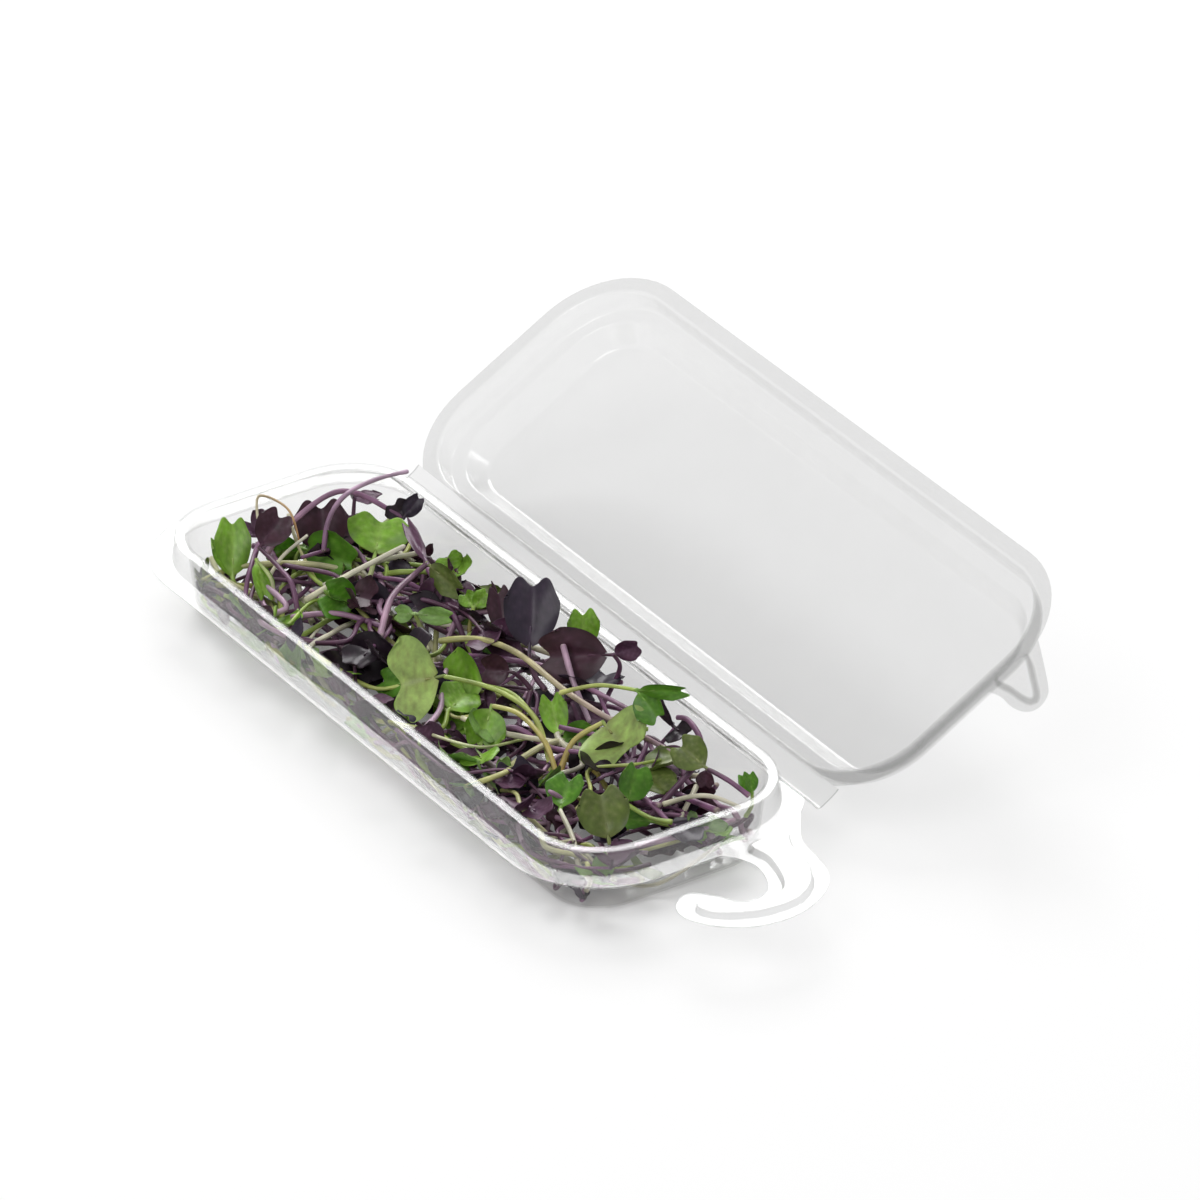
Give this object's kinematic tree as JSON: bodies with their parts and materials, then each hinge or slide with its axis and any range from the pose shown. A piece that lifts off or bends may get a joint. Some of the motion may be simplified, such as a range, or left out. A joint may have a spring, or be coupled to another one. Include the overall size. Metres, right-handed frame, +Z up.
{
  "type": "herb packet",
  "caption": "Open clear hinged tray of fresh radish sprouts with a hang hook at one end and a domed lid on a living hinge",
  "frame": {"origin": "middle of the tray's underside, on the surface that it stands on", "axes": "+X towards the hang hook, +Y towards the hinge and the open lid, +Z up"},
  "size_m": [0.2078, 0.132, 0.0443],
  "materials": {
    "clear_sheet": "clear gloss",
    "green_sprout": "soft satin",
    "red_sprout": "soft satin"
  },
  "bodies": {
    "tray": {"tray": "clear_sheet", "living_hinge": "clear_sheet", "sprout_1": "green_sprout", "sprout_2": "red_sprout", "sprout_3": "green_sprout", "sprout_4": "red_sprout", "sprout_5": "red_sprout", "sprout_6": "red_sprout", "sprout_7": "green_sprout", "sprout_8": "red_sprout", "sprout_9": "red_sprout", "sprout_10": "green_sprout", "sprout_11": "green_sprout", "sprout_12": "green_sprout", "sprout_13": "green_sprout", "sprout_14": "green_sprout", "sprout_15": "red_sprout", "sprout_16": "green_sprout", "sprout_17": "red_sprout", "sprout_18": "red_sprout", "sprout_19": "green_sprout", "sprout_20": "green_sprout", "sprout_21": "green_sprout", "sprout_22": "red_sprout", "sprout_23": "red_sprout", "sprout_24": "green_sprout", "sprout_25": "red_sprout", "sprout_26": "green_sprout", "sprout_27": "red_sprout", "sprout_28": "red_sprout", "sprout_29": "red_sprout", "sprout_30": "red_sprout", "sprout_31": "green_sprout", "sprout_32": "red_sprout", "sprout_33": "red_sprout", "sprout_34": "green_sprout", "sprout_35": "green_sprout", "sprout_36": "red_sprout", "sprout_37": "red_sprout", "sprout_38": "green_sprout", "sprout_39": "red_sprout", "sprout_40": "green_sprout", "sprout_41": "green_sprout", "sprout_42": "green_sprout", "sprout_43": "green_sprout", "sprout_44": "red_sprout", "sprout_45": "green_sprout", "sprout_46": "green_sprout", "sprout_47": "red_sprout", "bed_sprout_1": "green_sprout", "bed_sprout_2": "red_sprout", "bed_sprout_3": "red_sprout", "bed_sprout_4": "green_sprout", "bed_sprout_5": "red_sprout", "bed_sprout_6": "red_sprout", "bed_sprout_7": "green_sprout", "bed_sprout_8": "red_sprout"},
    "lid": {"lid": "clear_sheet"}
  },
  "joints": [
    {"name": "lid_hinge", "type": "hinge", "parent": "tray", "child": "lid", "pos_m": [0, 0.0352, 0.01145], "axis": [1, 0, 0], "range_deg": [-24, 151], "deforming": ["living_hinge", "sprout_5", "sprout_22", "sprout_24", "sprout_25", "sprout_26"]}
  ]
}
